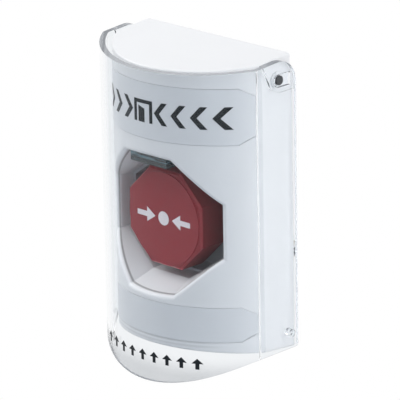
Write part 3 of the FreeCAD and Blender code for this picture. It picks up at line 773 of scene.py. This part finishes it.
class STATION_OT_screws(bpy.types.Operator):
    """Replaces the plain screws with cross-recessed, threaded ones"""

    bl_idname = "station.screws"
    bl_label = "Screws"

    def execute(self, context):
        zinc = brushed("zinc_screw", context.scene.station_finishes.zinc, 0.3, (1.0, 1.0, 1.0))
        self.replace("terminal_screws",
                     self.outward("terminal_screws", *CLAMP_HEAD, CLAMP_SHANK), zinc)
        for node, sizes in (("block_screws", PAN_HEAD), ("carrier_screws", PAN_HEAD),
                            ("sleeve_screws", SMALL_HEAD)):
            self.replace(node, self.rearward(node, *sizes), zinc)
        self.replace("security_screw", self.downward("security_screw", *PAN_HEAD), zinc)
        return {"FINISHED"}

    @staticmethod
    def outward(node, head, rise, shank, length):
        """Two screws a side, whose heads look away from the middle."""
        low, high = cad_box(node)
        level = (low[2] + high[2]) / 2
        return [screw_points((edge - side * rise, y, level), (side, 0, 0), head, rise, shank,
                             length)
                for side, edge in ((-1, low[0]), (1, high[0]))
                for y in (low[1] + head, high[1] - head)]

    @staticmethod
    def rearward(node, head, rise, shank):
        """Two screws, side by side or one above the other, whose heads look to the wall."""
        low, high = cad_box(node)
        middle = (low + high) / 2
        if high[0] - low[0] > 3 * head:
            places = [(low[0] + head, middle[2]), (high[0] - head, middle[2])]
        else:
            places = [(middle[0], low[2] + head), (middle[0], high[2] - head)]
        length = high[1] - low[1] - rise
        return [screw_points((x, high[1] - rise, z), (0, 1, 0), head, rise, shank, length)
                for x, z in places]

    @staticmethod
    def downward(node, head, rise, shank):
        """One screw, whose head looks down."""
        low, high = cad_box(node)
        seat = ((low[0] + high[0]) / 2, (low[1] + high[1]) / 2, low[2] + rise)
        return [screw_points(seat, (0, 0, -1), head, rise, shank, high[2] - seat[2])]

    @staticmethod
    def replace(node, patches, material):
        """Puts flat-shaded screws in place of a node's plain ones."""
        piece = mesh_piece("threaded_" + node, patches, material, "station")
        for face in piece.data.polygons:
            face.use_smooth = False
        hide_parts(node)


class STATION_OT_clamps(bpy.types.Operator):
    """Replaces the plain clamp strips with saddle-shaped ones"""

    bl_idname = "station.clamps"
    bl_label = "Clamps"

    def execute(self, context):
        nickel = brushed("nickel_clamp", context.scene.station_finishes.nickel, 0.3,
                         (1.0, 0.1, 1.0))
        width, sheet, stand_off = 7.0, 0.8, 0.9
        for side, word in ((-1, "left"), (1, "right")):
            node = "terminals_" + word
            low, high = cad_box(node)
            inner = high[0] if side < 0 else low[0]
            strips = [self.saddle(inner + side * stand_off, side, y, y + width, low[2],
                                  high[2]) for y in (low[1], high[1] - width)]
            piece = mesh_piece("saddle_" + node, strips, nickel, "station",
                               outward=(side, 0, 0))
            thicken(piece, sheet)
            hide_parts(node)
        return {"FINISHED"}

    @staticmethod
    def saddle(x, side, y0, y1, z0, z1):
        """Strip whose two long edges curl outwards: x = flat + 0.45 |w|^6, where w runs from
        -1 to 1 across it, less seven ridges 0.12 high that rise towards its rear end."""
        v = np.linspace(0, 1, 25)[:, None]
        w = np.linspace(-1, 1, 21)[None, :]
        y = y0 + (y1 - y0) * v + 0 * w
        z = (z0 + z1) / 2 + (z1 - z0) / 2 * w + 0 * v
        ridges = 0.12 * np.clip(np.sin(v * 2 * np.pi * 7), 0, 1) * np.clip(2 * v - 1.1, 0, 1)
        return np.stack([x + side * (0.45 * abs(w) ** 6 - ridges), y, z], axis=2)


class STATION_OT_spring(bpy.types.Operator):
    """Replaces the plain coil with one that has closed ends"""

    bl_idname = "station.spring"
    bl_label = "Spring"

    def execute(self, context):
        low, high = cad_box("return_spring")
        steel = brushed("spring_steel", context.scene.station_finishes.steel, 0.28,
                        (1.0, 1.0, 1.0))
        piece = mesh_piece("closed_return_spring", [self.coil(low, high)], steel, None)
        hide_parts("return_spring")
        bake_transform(piece)
        return {"FINISHED"}

    @staticmethod
    def coil(low, high):
        """Round wire wound along y: the middle of the wire runs at (R cos t, y, R sin t), and
        round it goes w (cos p, sin p), outwards and along y. y climbs by a wire's width in
        the first and the last turn, which lie closed, and evenly in the turns between them."""
        wire, turns, gap = 0.55, 5, 0.03
        per_turn, around = 36, 14
        radius = (high[0] - low[0]) / 2 - wire
        span = high[1] - low[1] - 2 * (wire + gap)
        closed = 2 * wire + gap
        t = np.linspace(0, 2 * np.pi * (turns + 2), per_turn * (turns + 2) + 1)[:, None]
        climb = np.interp(t / (2 * np.pi), (0, 1, turns + 1, turns + 2),
                          (0, closed, span - closed, span))
        p = np.linspace(0, 2 * np.pi, around + 1)[None, :]
        width = np.full(t.shape, wire)
        width[[0, -1]] = 0.0
        reach = radius + width * np.cos(p)
        return np.stack([(low[0] + high[0]) / 2 + reach * np.cos(t),
                         low[1] + wire + gap + climb + width * np.sin(p),
                         (low[2] + high[2]) / 2 + reach * np.sin(t)], axis=2)


class STATION_OT_stage(bpy.types.Operator):
    """Sets the camera, soft studio light, white background and pale floor"""

    bl_idname = "station.stage"
    bl_label = "Stage"

    def execute(self, context):
        scene, stage = context.scene, context.scene.station_stage
        self.camera(scene, stage)
        self.room(scene, stage.world, stage.daylight)
        for name, place, size, watts, tint in (
                ("side", (1.6, 0.55, 0.5), 1.2, stage.side, stage.warm),
                ("top", (-0.2, -0.6, 1.6), 1.6, stage.top, stage.warm),
                ("left", (-1.4, -0.5, 1.0), 1.0, stage.left, stage.warm),
                ("front", (1.25, -1.3, 0.1), 0.8, stage.front, stage.daylight)):
            self.lamp(scene, name, place, size, watts, tint)
        self.floor(scene, stage.floor_drop)
        scene.view_settings.view_transform = "Standard"
        return {"FINISHED"}

    @staticmethod
    def camera(scene, stage):
        az, el = stage.azimuth, stage.elevation
        back = Vector((math.sin(az) * math.cos(el), -math.cos(az) * math.cos(el),
                       math.sin(el)))
        right = Vector((math.cos(az), math.sin(az), 0.0))
        up = back.cross(right)
        turned = Matrix((right, up, back)).transposed() @ Matrix.Rotation(stage.roll, 3, "Z")
        data = bpy.data.cameras.new("photo_view")
        data.sensor_width = SENSOR_WIDTH
        data.lens = stage.lens
        camera = bpy.data.objects.new("photo_view", data)
        camera.matrix_world = Matrix.Translation(stage.eye) @ turned.to_4x4()
        scene.collection.objects.link(camera)
        scene.camera = camera

    @staticmethod
    def seen(tree):
        """Factor that is 1 for rays that look at the background: straight on, in a gloss or
        through the clear cover, as long as they haven't lit anything on their way."""
        path = tree.nodes.new("ShaderNodeLightPath")
        factor = path.outputs["Is Camera Ray"]
        for operation, name in (("MAXIMUM", "Is Glossy Ray"), ("MAXIMUM", "Is Transmission Ray"),
                                ("SUBTRACT", "Diffuse Depth")):
            step = tree.nodes.new("ShaderNodeMath")
            step.operation = operation
            step.use_clamp = True
            tree.links.new(factor, step.inputs[0])
            tree.links.new(path.outputs[name], step.inputs[1])
            factor = step.outputs[0]
        return factor

    def room(self, scene, strength, tint):
        world = bpy.data.worlds.new("studio_room")
        world.use_nodes = True
        tree = world.node_tree
        tree.nodes.clear()
        light, look = (tree.nodes.new("ShaderNodeBackground") for _ in range(2))
        light.inputs["Color"].default_value = colour(tint)
        light.inputs["Strength"].default_value = strength
        look.inputs["Color"].default_value = (1, 1, 1, 1)
        look.inputs["Strength"].default_value = 1.0
        choose = tree.nodes.new("ShaderNodeMixShader")
        tree.links.new(self.seen(tree), choose.inputs[0])
        tree.links.new(light.outputs[0], choose.inputs[1])
        tree.links.new(look.outputs[0], choose.inputs[2])
        end = tree.nodes.new("ShaderNodeOutputWorld")
        tree.links.new(choose.outputs[0], end.inputs["Surface"])
        scene.world = world

    @staticmethod
    def lamp(scene, name, place, size, watts, tint):
        data = bpy.data.lights.new(name, "AREA")
        data.size = size
        data.color = tint
        data.energy = watts
        lamp = bpy.data.objects.new(name, data)
        aim = Vector(LAMP_AIM) - Vector(place)
        lamp.matrix_world = (Matrix.Translation(place)
                             @ aim.to_track_quat("-Z", "Y").to_matrix().to_4x4())
        scene.collection.objects.link(lamp)

    def floor(self, scene, drop):
        """Round floor: (r cos t, r sin t) at one level. It keeps the shadow under the object,
        and turns white for the eye further out."""
        t = np.linspace(0, 2 * np.pi, 97)[None, :]
        r = np.array([0.0, 400.0, 1500.0])[:, None]
        points = revolve(r, -drop / MM, t)
        finish = Finish("pale_floor")
        tooth = finish.noise(0.2, detail=2.0)
        pale = finish.shader(base_color=finish.mix(tooth, (0.86, 0.86, 0.86, 1.0),
                                                   (0.9, 0.9, 0.9, 1.0)), roughness=0.8)
        white = finish.add("ShaderNodeEmission", {}, {"Color": (1, 1, 1, 1), "Strength": 1.0})
        reach = (finish.x * finish.x + finish.y * finish.y).sqrt().above(260.0, 240.0)
        factor = Signal(finish, self.seen(finish.tree)) * reach
        material = finish.done(finish.fade(factor, pale, white))
        mesh = bpy.data.meshes.new("floor")
        mesh.from_pydata((points.reshape(-1, 3) * MM).tolist(), [],
                         quads(*points.shape[:2]).tolist())
        mesh.materials.append(material)
        floor = bpy.data.objects.new("floor", mesh)
        scene.collection.objects.link(floor)


STEPS = (STATION_OT_finishes, STATION_OT_header_signs, STATION_OT_button_sign,
         STATION_OT_lift_arrows, STATION_OT_screws, STATION_OT_clamps, STATION_OT_spring,
         STATION_OT_stage)


class STATION_PT_looks(bpy.types.Panel):
    """Lists the steps that dress the station"""

    bl_idname = "STATION_PT_looks"
    bl_label = "Station looks"
    bl_space_type = "VIEW_3D"
    bl_region_type = "UI"
    bl_category = "Station"

    def draw(self, context):
        column = self.layout.column()
        for step in STEPS:
            column.operator(step.bl_idname)
        for group in (context.scene.station_finishes, context.scene.station_signs,
                      context.scene.station_stage):
            box = self.layout.box()
            for name in group.__annotations__:
                box.prop(group, name)


GROUPS = {"station_finishes": STATION_PG_finishes, "station_signs": STATION_PG_signs,
          "station_stage": STATION_PG_stage}
CLASSES = (*GROUPS.values(), *STEPS, STATION_PT_looks)


def register():
    for cls in CLASSES:
        bpy.utils.register_class(cls)
    for name, group in GROUPS.items():
        setattr(bpy.types.Scene, name, PointerProperty(type=group))


def unregister():
    for name in GROUPS:
        delattr(bpy.types.Scene, name)
    for cls in reversed(CLASSES):
        bpy.utils.unregister_class(cls)


def main():
    register()
    for step in STEPS:
        group, name = step.bl_idname.split(".")
        getattr(getattr(bpy.ops, group), name)()


if __name__ == "__main__":
    main()
